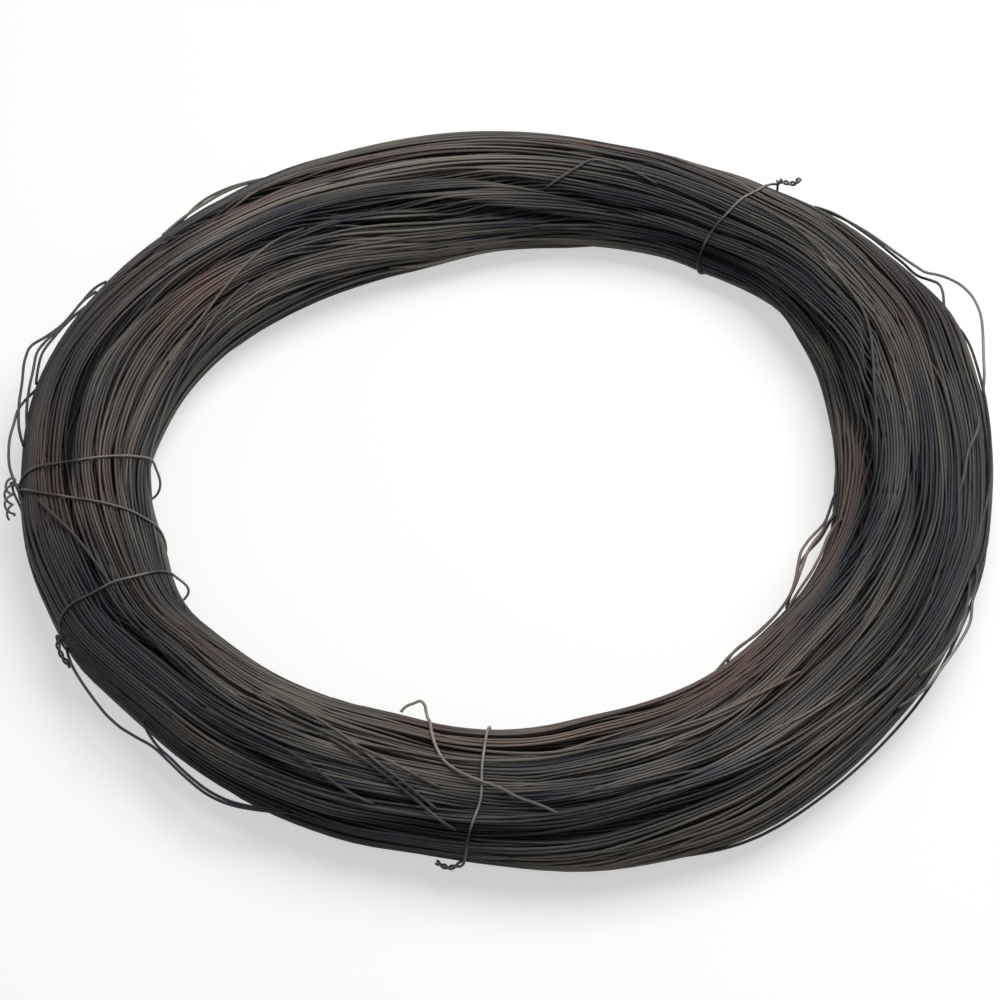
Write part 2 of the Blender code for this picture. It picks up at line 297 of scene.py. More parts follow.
# The wire ties. Each follows its route, by heading and turn, once or twice round the bundle. The turn keeps
# counting up as it goes round. The tie is drawn tight except where it is slack, by turn, reach and spread.
# Its two ends are twisted round each other, by heading, turn and height over the skin
Tie = namedtuple("Tie", "name route slack twist pitch openness")
TIES = (
    Tie("tie_left", (
        (183.8, 0.00), (183.2, 0.069), (183.6, 0.190), (183.1, 0.278), (181.3, 0.40), (179.5, 0.473),
        (180.3, 0.525), (181.8, 0.58), (182.4, 0.68), (183, 0.82), (183.8, 0.94), (184.1, 1.012),
        (188.6, 1.155), (190.8, 1.255), (193.0, 1.354), (195.0, 1.436), (196.2, 1.487), (195.6, 1.58),
        (193.0, 1.72), (188.5, 1.86), (184.6, 1.985),
    ), ((0.545, 6.2, 0.045),), (
        (183.6, 0.02, 2.2), (183.1, 0.03, 4.4), (183.9, 0.03, 6.2), (185.4, 0.03, 6.6),
        (187.0, 0.03, 6.6), (188.8, 0.03, 5.6),
    ), 0.0145, 2.8),
    Tie("tie_front_left", (
        (206.6, 0.03), (206.0, 0.090), (206.4, 0.166), (206.2, 0.233), (206.2, 0.316), (205.2, 0.458),
        (205.6, 0.56), (206.4, 0.70), (207, 0.85), (207.4, 0.97),
    ), ((0.53, 6.0, 0.045),), (
        (207.6, 0.02, 2.6), (208.4, 0.01, 4.2), (209.6, -0.01, 4.4), (210.8, -0.02, 3.6),
    ), 0.0085, 1.1),
    Tie("tie_front", (
        (265.2, 0.00), (265.5, 0.072), (266.0, 0.111), (266.5, 0.152), (266.4, 0.246), (266.5, 0.299),
        (266.6, 0.364), (266.8, 0.433), (266.9, 0.50), (266.6, 0.62), (265.8, 0.78), (264.6, 0.90),
        (264.4, 0.945),
    ), ((0.46, 1.4, 0.025),), (
        (264.3, 0.965, 3.0), (263.6, 0.965, 4.6), (262.9, 0.96, 4.4), (261.9, 0.96, 3.0),
    ), 0.0080, 1.1),
    Tie("tie_back_right", (
        (54.6, 0.10), (54.5, 0.177), (55.1, 0.239), (55.4, 0.309), (56.1, 0.382), (56.8, 0.436),
        (57.1, 0.467), (57.0, 0.551), (56.4, 0.68), (55.4, 0.82), (54.2, 0.95), (53.8, 1.06),
    ), ((0.52, 2.0, 0.04),), (
        (53.6, 0.10, 3.6), (52.9, 0.115, 6.2), (51.9, 0.12, 7.0), (50.9, 0.12, 8.6),
        (50.5, 0.12, 12.2),
    ), 0.0082, 1.3),
)
TIE_POINTS_A_TURN = 80
TIE_SPACING = 0.0010
TWIST_SPACING = 0.0006
TWIST_REACH = 0.52 * TIE_WIRE

# A tie needs room under the turns: so much height, over so many degrees to each side
TIE_ROOM = 1.05 * TIE_WIRE
TIE_ROOM_WIDTH = 4.0

# Where rust has come through on the turns: heading, turn, how far it reaches each way, and how strong it is
Patch = namedtuple("Patch", "heading turn reach across strength")
RUST = [Patch(*row) for row in (
    (186, 0.14, 12, 0.07, 0.9),
    (188, 0.3, 14, 0.12, 0.5),
    (150, 0.33, 14, 0.08, 0.8),
    (158, 0.14, 14, 0.06, 0.6),
    (126, 0.15, 20, 0.04, 0.5),
    (85, 0.15, 30, 0.035, 0.4),
    (24, 0.12, 12, 0.05, 0.6),
    (24, 0.2, 7, 0.03, 0.8),
    (20, 0.29, 6, 0.03, 0.6),
    (355, 0.43, 12, 0.05, 0.9),
    (338, 0.43, 12, 0.05, 0.7),
    (308, 0.4, 18, 0.06, 1),
    (310, 0.28, 10, 0.04, 0.6),
    (270, 0.39, 18, 0.05, 0.6),
    (220, 0.34, 9, 0.04, 0.6),
)]

# Patches of painted shade, such as the shadow on the bore's low wall and on the near rim, and, with a
# strength below nought, of painted light and painted glints
SCALE = [Patch(*row) for row in (
    (54, 0.51, 15, 0.045, 0.7),
    (38, 0.38, 26, 0.055, 0.42),
    (74, 0.4, 14, 0.035, 0.62),
    (340, 0.375, 22, 0.035, 0.62),
    (338, 0.11, 20, 0.07, 0.34),
    (20, 0.12, 16, 0.05, 0.24),
    (352, 0.26, 14, 0.03, 0.34),
    (206, 0.13, 22, 0.1, 0.4),
    (180, 0.21, 8, 0.035, 0.55),
    (218, 0.27, 12, 0.04, 0.28),
    (208, 0.4, 8, 0.04, 0.35),
    (214, 0.01, 15, 0.05, 0.34),
    (222, 0.44, 12, 0.05, 0.26),
    (244, -0.01, 17, 0.045, 0.8),
    (264, 0.05, 13, 0.025, 0.5),
    (286, 0.085, 10, 0.02, 0.4),
    (126, 0.315, 16, 0.022, 0.55),
    (162, 0.12, 13, 0.08, 0.38),
    (154, 0.31, 11, 0.04, 0.24),
    (314, 0.2, 12, 0.035, 0.22),
    (0, 0.2, 34, 0.3, 0.1),
    (112, 0.175, 26, 0.05, -0.9),
    (82, 0.21, 13, 0.06, -0.8),
    (66, 0.12, 14, 0.05, -0.3),
    (142, 0.35, 9, 0.04, -0.5),
    (190, 0.2, 5, 0.03, -0.5),
    (243, 0.25, 8, 0.05, -0.4),
    (269, 0.36, 14, 0.06, -0.5),
    (283, 0.22, 11, 0.06, -0.45),
    (258, 0.1, 9, 0.025, -0.4),
    (301, 0.13, 12, 0.025, -0.9),
)]
# How far the painted shade and painted light may go
SHADE_AND_LIGHT_LIMITS = (-1.0, 0.85)

# Zones of scale and rust: so many to a radian round the coil, one in 80 mm or so, and to a metre across it,
# one in 15 mm. Along the wire the scale changes so many times a metre
ZONES_ROUND = 2.7
ZONES_ACROSS = 65.0
CHANGES_ALONG = 3.0
# The bluish dark that painted shade turns the wire's colour towards
PAINTED_SHADE_TINT = "#363c44"

# Grains of scale to a metre. Real ones, of some hundredths of a millimetre, are too fine to show, so they
# are drawn half a millimetre across
GRAINS = 1900.0

# Each loose turn starts so much further along the wire, so that its tone is its own
TONE_STEP = 37.0

# How the turns are pushed apart until no two of them share a place: the rounds, the rounds between two
# searches for neighbours, the share of an overlap that one push takes out, how stiffly the wire levels
# itself, how near a neighbour is looked for, and how many wires' width it is kept away
SETTLE_ROUNDS = 48
PAIR_ROUNDS = 8
SETTLE_PUSH = 0.45
STIFFNESS = 0.5
NEAR = 0.0028
CLEARANCE = 1.02


# Reading the bundle's skin from the frame

def smoothed(values, axis, passes):
    """The values, which close on themselves along this axis, with their short swings taken out."""
    for _ in range(passes):
        values = (np.roll(values, 1, axis) + 2 * values + np.roll(values, -1, axis)) / 4
    return values


def through(wanted, knots, values):
    """Values at the wanted places, on a smooth curve through the knots."""
    knots, values = np.asarray(knots, float), np.asarray(values, float)
    slopes = np.gradient(values, knots, axis=0)
    span = np.clip(np.searchsorted(knots, wanted) - 1, 0, len(knots) - 2)
    width = knots[span + 1] - knots[span]
    part = np.clip((wanted - knots[span]) / width, 0, 1)
    shape = values.shape[1:]
    width, part = (each.reshape(each.shape + (1,) * len(shape)) for each in (width, part))
    rise = values[span + 1] - values[span]
    bend = (1 - part) * (slopes[span] * width - rise) - part * (slopes[span + 1] * width - rise)
    return values[span] + part * rise + part * (1 - part) * bend


def swollen(kind):
    """How far the bundle's rim or bore swells at each station."""
    degrees = np.degrees(ANGLES)
    total = np.zeros(STATIONS)
    for swell in SWELLS:
        away = (degrees - swell.heading + 180) % 360 - 180
        total += getattr(swell, kind) * np.exp(-((away / swell.reach) ** 2))
    return total


def section_centres(tree):
    """How far from the axis the middle of the bundle's section lies at each station."""
    centres = np.zeros(STATIONS)
    start = Vector(AXIS) + Vector((0, 0, MIDDLE_HEIGHT))
    # A step past the bore's wall keeps the second ray from meeting it again
    step_past = 0.001
    for station, heading in enumerate(HEADINGS):
        heading = Vector(heading)
        bore = tree.ray_cast(start, heading)[3] + step_past
        rim = bore + tree.ray_cast(start + bore * heading, heading)[3]
        centres[station] = (bore + rim) / 2
    return smoothed(centres, axis=0, passes=12)


def skin_reach(tree, centres, tilts):
    """How far the node's skin lies from the section's middle, by station and tilt."""
    reach = np.zeros((STATIONS, AROUND))
    for station, heading in enumerate(HEADINGS):
        middle = Vector(AXIS + centres[station] * heading) + Vector((0, 0, MIDDLE_HEIGHT))
        for place, tilt in enumerate(tilts):
            ray = math.cos(tilt) * Vector(heading) + Vector((0, 0, math.sin(tilt)))
            reach[station, place] = tree.ray_cast(middle, ray)[3]
    # Smoothing levels the node's ridges, so the skin gets back half a wire
    return smoothed(smoothed(reach, axis=1, passes=5), axis=0, passes=2) + 0.5 * WIRE


def swollen_section(reach, tilts):
    """The section's places across and up at each station, with its rim and bore swollen."""
    across = reach * np.cos(tilts)
    up = np.maximum(reach * np.sin(tilts), -MIDDLE_HEIGHT)
    high = np.clip((up - LOW_BORE) / BORE_BLEND, 0, 1)
    bore = swollen("bore")[:, None] * high + swollen("bore_low")[:, None] * (1 - high)
    grown = np.where(across > 0, swollen("rim")[:, None], bore)
    half = np.where(across > 0, reach[:, :1], reach[:, AROUND // 2 : AROUND // 2 + 1])
    return across * (1 + grown / half), up


def skin_outlines(tree, centres):
    """The skin at each station, as points across and up from the section's middle and as reach by tilt."""
    tilts = 2 * np.pi * np.arange(AROUND) / AROUND
    across, up = swollen_section(skin_reach(tree, centres, tilts), tilts)
    reach = np.zeros((STATIONS, AROUND))
    outlines = np.zeros((STATIONS, AROUND, 2))
    for station in range(STATIONS):
        closed = np.stack([across[station], up[station]], axis=1)
        by_tilt = np.arctan2(closed[:, 1], closed[:, 0])
        reach[station] = np.interp(tilts, by_tilt, np.hypot(*closed.T), period=2 * np.pi)
        closed = np.vstack([closed, closed[:1]])
        lengths = np.concatenate([[0], np.cumsum(np.hypot(*np.diff(closed, axis=0).T))])
        wanted = lengths[-1] * np.arange(AROUND) / AROUND
        outlines[station, :, 0] = np.interp(wanted, lengths, closed[:, 0])
        outlines[station, :, 1] = np.interp(wanted, lengths, closed[:, 1])
    tangent = np.roll(outlines, -1, 1) - np.roll(outlines, 1, 1)
    tangent /= np.linalg.norm(tangent, axis=2, keepdims=True)
    outward = np.stack([tangent[:, :, 1], -tangent[:, :, 0]], axis=2)
    perimeter = np.hypot(*(np.roll(outlines, -1, 1) - outlines).reshape(-1, 2).T).sum() / STATIONS
    return outlines, outward, reach, perimeter


def on_skin(table, stations, turns):
    """Reads a table over the skin at these stations, which may lie between two, and turns."""
    before = np.floor(stations).astype(int)
    along = stations - before
    place = (turns % 1.0) * AROUND
    below = np.floor(place).astype(int)
    across = place - below
    if table.ndim == 3:
        along, across = along[:, None], across[:, None]
    here, after = before % STATIONS, (before + 1) % STATIONS
    below, above = below % AROUND, (below + 1) % AROUND
    first = table[here, below] * (1 - across) + table[here, above] * across
    second = table[after, below] * (1 - across) + table[after, above] * across
    return first * (1 - along) + second * along


class Skin:
    """The bundle's skin, and places on it and under it."""

    def __init__(self, node):
        tree = BVHTree.FromObject(node, bpy.context.evaluated_depsgraph_get())
        self.centres = section_centres(tree)
        self.outlines, self.outward, self.reach, self.perimeter = skin_outlines(tree, self.centres)

    def places(self, stations, turns, heights):
        """Places across and up in the section, at these heights over the skin."""
        outward = on_skin(self.outward, stations, turns)
        outward /= np.linalg.norm(outward, axis=1, keepdims=True)
        return on_skin(self.outlines, stations, turns) + np.asarray(heights)[:, None] * outward

    def in_space(self, stations, places):
        """Points in the row frame from places across and up in the section at each station."""
        angles = 2 * np.pi * stations / STATIONS
        closed = np.append(self.centres, self.centres[0])
        centres = np.interp(stations % STATIONS, np.arange(STATIONS + 1), closed)
        far = centres + places[:, 0]
        up = MIDDLE_HEIGHT + places[:, 1]
        return AXIS + np.stack([far * np.cos(angles), far * np.sin(angles), up], axis=1)

    def depths(self, stations, places):
        """How deep these places lie under the skin, as seen from the section's middle."""
        turns = np.arctan2(places[:, 1], places[:, 0]) / (2 * np.pi)
        return on_skin(self.reach, stations, turns) - np.hypot(*places.T)

    def patches_at(self, points, patches):
        """How strong a table's patches are at these points, for the rust and for the painted shade and
        light.
        """
        away = points - AXIS
        headings = np.degrees(np.arctan2(away[:, 1], away[:, 0]))
        centres = np.interp(headings % 360, np.degrees(ANGLES), self.centres, period=360)
        far = np.hypot(away[:, 0], away[:, 1])
        turns = np.arctan2(away[:, 2] - MIDDLE_HEIGHT, far - centres) / (2 * np.pi)
        total = np.zeros(len(points))
        for patch in patches:
            aside = (headings - patch.heading + 180) % 360 - 180
            across = (turns - patch.turn + 0.5) % 1.0 - 0.5
            total += patch.strength * np.exp(-((aside / patch.reach) ** 2) - (across / patch.across) ** 2)
        return total


# Winding the wire

def random_field(rng, swings_round, swings_across):
    """A smooth random field over the skin, with about so many swings round the coil and the section."""
    noise = rng.standard_normal((STATIONS, AROUND))
    round_it = np.fft.fftfreq(STATIONS)[:, None] * STATIONS / swings_round
    across = np.fft.fftfreq(AROUND)[None, :] * AROUND / swings_across
    shaped = np.fft.ifft2(np.fft.fft2(noise) * np.exp(-0.5 * (round_it**2 + across**2))).real
    return shaped / shaped.std()


def random_run(rng, length, swings_a_turn):
    """A smooth random run of values along the wire, with about so many swings a turn."""
    noise = rng.standard_normal(length)
    swings = np.fft.fftfreq(length) * STATIONS / swings_a_turn
    shaped = np.fft.ifft(np.fft.fft(noise) * np.exp(-0.5 * swings**2)).real
    return shaped / shaped.std()


def rolled(stations, turns):
    """How far the turns have rolled about the bundle at these places."""
    angles = ANGLES[stations % STATIONS]
    moved = np.zeros(len(stations))
    for roll in ROLLS:
        phase = roll.waves_round * angles + 2 * np.pi * roll.waves_across * turns
        moved += roll.amount * np.cos(phase - math.radians(roll.heading))
    return moved


def grooved(stations, turns, perimeter):
    """How far a groove pushes the turns aside at these places, and how deep it sinks them."""
    aside, deeper = np.zeros(len(turns)), np.zeros(len(turns))
    degrees = 360 * stations / STATIONS
    for groove in GROOVES:
        headings, middles = np.array(groove.places).T
        ahead = (degrees - headings[0]) % 360
        length = headings[-1] - headings[0]
        left = np.minimum(ahead, length - ahead)
        strength = np.where(ahead < length, np.clip(left / GROOVE_FADE, 0, 1), 0)
        middle = through(headings[0] + np.minimum(ahead, length), headings, middles)
        away = ((turns - middle + 0.5) % 1.0 - 0.5) * perimeter
        near = strength * np.exp(-((away / groove.width) ** 2))
        aside += GROOVE_PUSH * away * near
        deeper += groove.depth * near
    return aside, deeper


def laid_layer(skin, number, drifts, downhill):
    """A layer's turn and depth at each point of its wire, whose end sinks into the layer below."""
    layer = LAYERS[number]
    count = round((skin.perimeter - 2 * math.pi * layer.depth) / layer.pitch)
    # A count that the stride divides would lay turns on each other, so it gets one more
    count += count % layer.stride == 0
    run = np.arange(count * STATIONS)
    stations = run % STATIONS
    laid = FIRST_TURN - layer.stride * run / STATIONS / count
    sinking = np.clip(run / STATIONS - count + 1, 0, 1)
    sinking = sinking**2 * (3 - 2 * sinking)
    below = min(number + 1, len(LAYERS) - 1)
    moved = np.zeros(len(run))
    for share, level in ((1 - sinking, number), (sinking, below)):
        moved += share * LAYERS[level].roll * rolled(stations, laid)
        moved += share * on_skin(drifts[level], stations, laid)
    unrolled = laid + (moved - rolled(stations, laid)) / skin.perimeter
    moved += layer.gather * on_skin(downhill, stations, unrolled)
    depths = layer.depth * (1 - sinking) + LAYERS[below].depth * sinking
    return laid + moved / skin.perimeter, depths


def wound_turns(skin, rng):
    """The wound wire, turn after turn: its station, turn and height over the skin at each point."""
    hollows = random_field(rng, *HOLLOW_SWINGS)
    downhill = np.roll(hollows, 1, 1) - np.roll(hollows, -1, 1)
    downhill /= downhill.std()
    drifts = [random_field(rng, *DRIFT_SWINGS) * layer.drift for layer in LAYERS]
    layers = [laid_layer(skin, number, drifts, downhill) for number in range(len(LAYERS))]
    turns, depths = (np.concatenate(each) for each in zip(*layers))
    stations = np.arange(len(turns)) % STATIONS
    turns = turns + random_run(rng, len(turns), WANDER_SWINGS) * WANDER / skin.perimeter
    turns = turns + random_run(rng, len(turns), KINK_SWINGS) * KINK / skin.perimeter
    aside, deeper = grooved(stations, turns, skin.perimeter)
    turns = turns + aside / skin.perimeter
    unrolled = turns - rolled(stations, turns) / skin.perimeter
    hollow = np.clip(on_skin(hollows, stations, unrolled), 0, HOLLOW_LIMIT)
    depths = depths + deeper + hollow * HOLLOW_DEPTH
    depths = depths + random_run(rng, len(turns), WANDER_DEPTH_SWINGS) * WANDER_DEPTH
    return stations, turns, -depths


def random_strays(rng):
    """Turns that lie across the others here and there, all round the coil, each over 36 to 70 degrees."""
    strays = []
    for number in range(STRAYS):
        start = 360 * (number + rng.random()) / STRAYS
        span = rng.uniform(36, 70)
        turn = rng.uniform(-0.10, 0.60)
        shift = rng.choice((-1, 1)) * rng.uniform(0.03, 0.08)
        steps = np.linspace(0, 1, len(STRAY_HEIGHTS))
        swung = turn + shift * (steps - 0.5) + 0.01 * np.sin(2 * np.pi * (steps + rng.random()))
        strays.append(tuple(zip(start + span * steps, swung, STRAY_HEIGHTS)))
    return strays


def near_pairs(stations, places):
    """Every two points of wire that lie close to each other in the same section."""
    firsts, seconds = [], []
    for station in range(STATIONS):
        here = np.flatnonzero(stations == station)
        apart = places[here][:, None, :] - places[here][None, :, :]
        close = (apart**2).sum(axis=2) < NEAR**2
        first, second = np.nonzero(np.triu(close, 1))
        firsts.append(here[first])
        seconds.append(here[second])
    return np.concatenate(firsts), np.concatenate(seconds)


def pushed_apart(places, pairs):
    """How far each place moves so that its wire no longer shares room with its neighbours."""
    first, second = pairs
    apart = places[first] - places[second]
    distance = np.maximum(np.hypot(apart[:, 0], apart[:, 1]), 1e-6)
    push = SETTLE_PUSH * np.clip(CLEARANCE * WIRE - distance, 0, None) / distance
    shift = np.zeros_like(places)
    for side in (0, 1):
        shift[:, side] += np.bincount(first, push * apart[:, side], len(places))
        shift[:, side] -= np.bincount(second, push * apart[:, side], len(places))
    return shift


def floor_heights():
    """How low the middle of a wire may lie at each station: a tie needs room under the others."""
    lowest = np.full(STATIONS, WIRE / 2)
    for tie in TIES:
        headings = np.array([heading for heading, turn in tie.route if 0.5 < turn % 1.0])
        for heading in np.linspace(headings.min(), headings.max(), 12):
            away = (np.degrees(ANGLES) - heading + 180) % 360 - 180
            room = TIE_ROOM * np.exp(-((away / TIE_ROOM_WIDTH) ** 4))
            lowest = np.maximum(lowest, WIRE / 2 + room)
    return lowest


def held_in(skin, stations, places, highest, lowest):
    """Places moved back between the skin and the core, where they have strayed past them."""
    far = np.hypot(places[:, 0], places[:, 1])
    tilt = np.arctan2(places[:, 1], places[:, 0]) / (2 * np.pi)
    reach = on_skin(skin.reach, stations, tilt)
    kept = np.clip(far, reach - CORE_DEPTH - WIRE / 2, reach + highest)
    places = places * (kept / far)[:, None]
    places[:, 1] = np.maximum(places[:, 1], lowest[stations] - MIDDLE_HEIGHT)
    return places


def settled(skin, stations, wanted, highest, starts):
    """Where all the turns lie once they have made room for each other."""
    before = np.arange(len(stations)) - 1
    after = np.arange(len(stations)) + 1
    before[starts] = starts
    ends = np.append(starts[1:], len(stations)) - 1
    after[ends] = ends
    places = wanted.copy()
    lowest = floor_heights()
    for settle_round in range(SETTLE_ROUNDS):
        if settle_round % PAIR_ROUNDS == 0:
            pairs = near_pairs(stations, places)
        strayed = places + pushed_apart(places, pairs) - wanted
        level = (strayed[before] + 2 * strayed + strayed[after]) / 4
        places = wanted + (1 - STIFFNESS) * strayed + STIFFNESS * level
        places = held_in(skin, stations, places, highest, lowest)
    return places


def by_column(route):
    """A route's headings, turns and heights, with the heights in metres."""
    headings, turns, heights = np.array(route, float).T
    return headings, turns, heights / 1000


def loose_route(skin, loose, stations):
    """Places of a loose turn at these stations."""
    headings, turns, heights = by_column(loose)
    degrees = 360 * stations / STATIONS
    return skin.places(stations, through(degrees, headings, turns), through(degrees, headings, heights))


def loose_stations(loose, step):
    """The stations that a loose turn passes, with this step between them."""
    first, last = (loose[end][0] * STATIONS / 360 for end in (0, -1))
    return np.arange(math.ceil(first), math.floor(last) + step / 2, step)


# The free end and the ties

def eased(points, spacing):
    """Evenly spaced points on a smooth curve through these."""
    points = np.asarray(points, float)
    lengths = np.concatenate([[0], np.cumsum(np.linalg.norm(np.diff(points, axis=0), axis=1))])
    wanted = np.linspace(0, lengths[-1], max(2, math.ceil(lengths[-1] / spacing) + 1))
    return through(wanted, lengths, points)


def over_skin(skin, route):
    """Points in the row frame from a route given as heading, turn and height over the skin."""
    headings, turns, heights = by_column(route)
    stations = headings * STATIONS / 360
    return skin.in_space(stations, skin.places(stations, turns, heights))


class Strands:
    """Where every strand crosses the bundle's section, at any heading."""

    def __init__(self, skin, stations, places, starts):
        # A tie doesn't reach out for a strand that stands off the bundle
        last = np.append(starts[1:], len(stations)) - 1
        goes_on = -skin.depths(stations, places) < WIRE
        goes_on[last] = False
        self.places = places
        self.crossing = [np.flatnonzero((stations == station) & goes_on) for station in range(STATIONS)]

    def at(self, station):
        """The places of the strands that lie on the bundle at this station, which may lie between two."""
        before = math.floor(station)
        here = self.crossing[before % STATIONS]
        return self.places[here] * (1 - station + before) + self.places[here + 1] * (station - before)


def drawn_tight(crossing, tilt, gap):
    """Where a wire drawn tight round these strands lies at this tilt from the section's middle."""
    directions = 2 * np.pi * np.arange(360) / 360
    directions = np.stack([np.cos(directions), np.sin(directions)], axis=1)
    outmost = crossing[np.argmax(crossing @ directions.T, axis=0)] + gap * directions
    tilts = np.arctan2(outmost[:, 1], outmost[:, 0])
    return np.array([np.interp(tilt, tilts, outmost[:, side], period=2 * np.pi) for side in (0, 1)])


def tie_loop(skin, strands, tie):
    """A tie's way round the bundle, from one end to the other."""
    headings, knots = np.array(tie.route).T
    turns = np.linspace(knots[0], knots[-1], round(TIE_POINTS_A_TURN * (knots[-1] - knots[0])))
    stations = through(turns, knots, headings) * STATIONS / 360
    on_outline = skin.places(stations, turns, np.zeros(len(turns)))
    places = np.zeros((len(turns), 2))
    for number, (station, place) in enumerate(zip(stations, on_outline)):
        tilt = math.atan2(place[1], place[0])
        places[number] = drawn_tight(strands.at(station), tilt, (WIRE + TIE_WIRE) / 2)
    outward = on_skin(skin.outward, stations, turns)
    for turn, reach, spread in tie.slack:
        slack = reach / 1000 * np.exp(-(((turns - turn) / spread) ** 2))
        places += slack[:, None] * outward
    places[:, 1] = np.maximum(places[:, 1], TIE_WIRE / 2 - MIDDLE_HEIGHT)
    points = skin.in_space(stations, places)
    for _ in range(2):
        points[1:-1] = (points[:-2] + 2 * points[1:-1] + points[2:]) / 4
    return points


def twisted_ends(skin, tie):
    """The two ends of a tie, turned round each other along their twist."""
    axis = eased(over_skin(skin, tie.twist), TWIST_SPACING)
    along = np.gradient(axis, axis=0)
    along /= np.linalg.norm(along, axis=1, keepdims=True)
    aside = np.cross(along, (0, 0, 1))
    aside /= np.linalg.norm(aside, axis=1, keepdims=True)
    across = np.cross(along, aside)
    lengths = np.concatenate([[0], np.cumsum(np.linalg.norm(np.diff(axis, axis=0), axis=1))])
    turned = 2 * np.pi * lengths / tie.pitch
    reach = TWIST_REACH * tie.openness
    around = reach * (np.cos(turned)[:, None] * aside + np.sin(turned)[:, None] * across)
    return axis + around, axis - around


def tie_wire(skin, strands, tie, material):
    """One tie: its way round the bundle, with the ends that are twisted together."""
    loop = tie_loop(skin, strands, tie)
    first, last = twisted_ends(skin, tie)
    if np.linalg.norm(loop[0] - first[0]) > np.linalg.norm(loop[0] - last[0]):
        first, last = last, first
    points = eased(np.vstack([first[::-1], loop[1:-1], last]), TIE_SPACING)
    depths = [np.zeros(len(points))]
    piece = wire_mesh(skin, tie.name + "_wire", [points], [0.0], depths, 2, TIE_WIRE)
    return kept(piece, "tie_wire", material, tie.name)


# Making wire meshes

def wire_mesh(skin, name, runs, starts, depths, resolution, thickness=WIRE):
    """Round wires along runs of points. The mesh knows for each place how far along its wire and how deep
    it is, how much rust it has, and how much painted shade and painted light it gets."""
    data = bpy.data.curves.new(name, "CURVE")
    data.dimensions = "3D"
    data.bevel_depth = thickness / 2
    data.bevel_resolution = resolution
    data.use_fill_caps = True
    rusts = [np.minimum(skin.patches_at(points, RUST), 1) for points in runs]
    shades_and_lights = [np.clip(skin.patches_at(points, SCALE), *SHADE_AND_LIGHT_LIMITS) for points in runs]
    along = []
    for points, start in zip(runs, starts):
        spline = data.splines.new("POLY")
        spline.points.add(len(points) - 1)
        spline.points.foreach_set("co", np.column_stack([points, np.ones(len(points))]).ravel())
        lengths = np.cumsum(np.linalg.norm(np.diff(points, axis=0), axis=1))
        along.append(start + np.concatenate([[0], lengths]))
    obj = bpy.data.objects.new(name, data)
    bpy.context.scene.collection.objects.link(obj)
    bpy.context.view_layer.objects.active = obj
    obj.select_set(True)
    bpy.ops.object.convert(target="MESH")
    # The converted curve lists the rings of its end caps first, from the last wire to the first
    sides = 2 * resolution + 4
    for kind, values in (("run", along), ("depth", depths), ("rust", rusts), ("scale", shades_and_lights)):
        caps = [each[end] for each in reversed(values) for end in (-1, 0)]
        values = np.repeat(np.concatenate([caps, *values]), sides).astype(np.float32)
        obj.data.attributes.new(kind, "FLOAT", "POINT").data.foreach_set("value", values)
    # The caps are welded on, so that each wire is closed
    bpy.ops.object.mode_set(mode="EDIT")
    bpy.ops.mesh.select_all(action="SELECT")
    bpy.ops.mesh.remove_doubles(threshold=0.000001)
    bpy.ops.object.mode_set(mode="OBJECT")
    obj.select_set(False)
    return obj


def kept(piece, slot, material, *nodes):
    """A finished piece: it rides with the coil, and stands for these nodes."""
    piece.data.materials.clear()
    piece.data.materials.append(material)
    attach(piece, "root")
    if nodes:
        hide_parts(*nodes)
    return piece


def coil_turns(skin, points, depths, material, pieces=5):
    """The wound turns, in pieces of the one wire that follow on from each other."""
    turns = len(points) // STATIONS
    ends = [round(turns * share / pieces) * STATIONS for share in range(pieces + 1)]
    lengths = np.concatenate([[0], np.cumsum(np.linalg.norm(np.diff(points, axis=0), axis=1))])
    for number, (start, end) in enumerate(zip(ends, ends[1:]), 1):
        run, deep = points[start : end + 1], depths[start : end + 1]
        piece = wire_mesh(skin, f"coil_turns_{number}", [run], [lengths[start]], [deep], 1)
        kept(piece, "annealed_wire", material, "wire_coil")


def coil_core(skin, material):
    """The inside of the bundle, coloured near black as painted shade, ridged by the turns under those that
    are wound one by one.
    """
    stations = np.arange(0, STATIONS, CORE_STEP)
    places = 2 * CORE_RIDGES
    turns = np.arange(places) / places
    heights = -CORE_DEPTH + CORE_RIDGE_HEIGHT * np.where(np.arange(places) % 2, 1, -1)
    turns, heights = (np.tile(each, len(stations)) for each in (turns, heights))
    all_stations = np.repeat(stations, places)
    points = skin.in_space(all_stations, skin.places(all_stations, turns, heights))
    # A plain ring gets a row of points for each station, and each point is then drawn in to its place
    rows = len(stations)
    bpy.ops.mesh.primitive_torus_add(major_segments=rows, minor_segments=places, generate_uvs=False)
    piece = bpy.context.active_object
    piece.name = "coil_core"
    piece.data.vertices.foreach_set("co", points.ravel())
    piece.data.update()
    piece.data.shade_smooth()
    piece.select_set(False)
    return kept(piece, "annealed_wire", material, "wire_coil")


# Finishes

def linear(hex_colour):
    """An sRGB hex colour as the linear values that a shader takes."""
    values = [int(hex_colour[place : place + 2], 16) / 255 for place in (1, 3, 5)]
    return [v / 12.92 if v <= 0.04045 else ((v + 0.055) / 1.055) ** 2.4 for v in values] + [1.0]


def add(tree, kind, inputs=None, **settings):
    """One shader node with its settings. An input takes a value, or a link from an output or from the first
    output of a node. In a Map Range, input 0 is the value, 1 and 2 are the range that it comes from, and
    3 and 4 are the range that it goes to."""
    made = tree.nodes.new("ShaderNode" + kind)
    for name, value in settings.items():
        setattr(made, name, value)
    for socket, value in (inputs or {}).items():
        if isinstance(value, bpy.types.Node):
            value = value.outputs[0]
        if isinstance(value, bpy.types.NodeSocket):
            tree.links.new(value, made.inputs[socket])
        else:
            made.inputs[socket].default_value = value
    return made


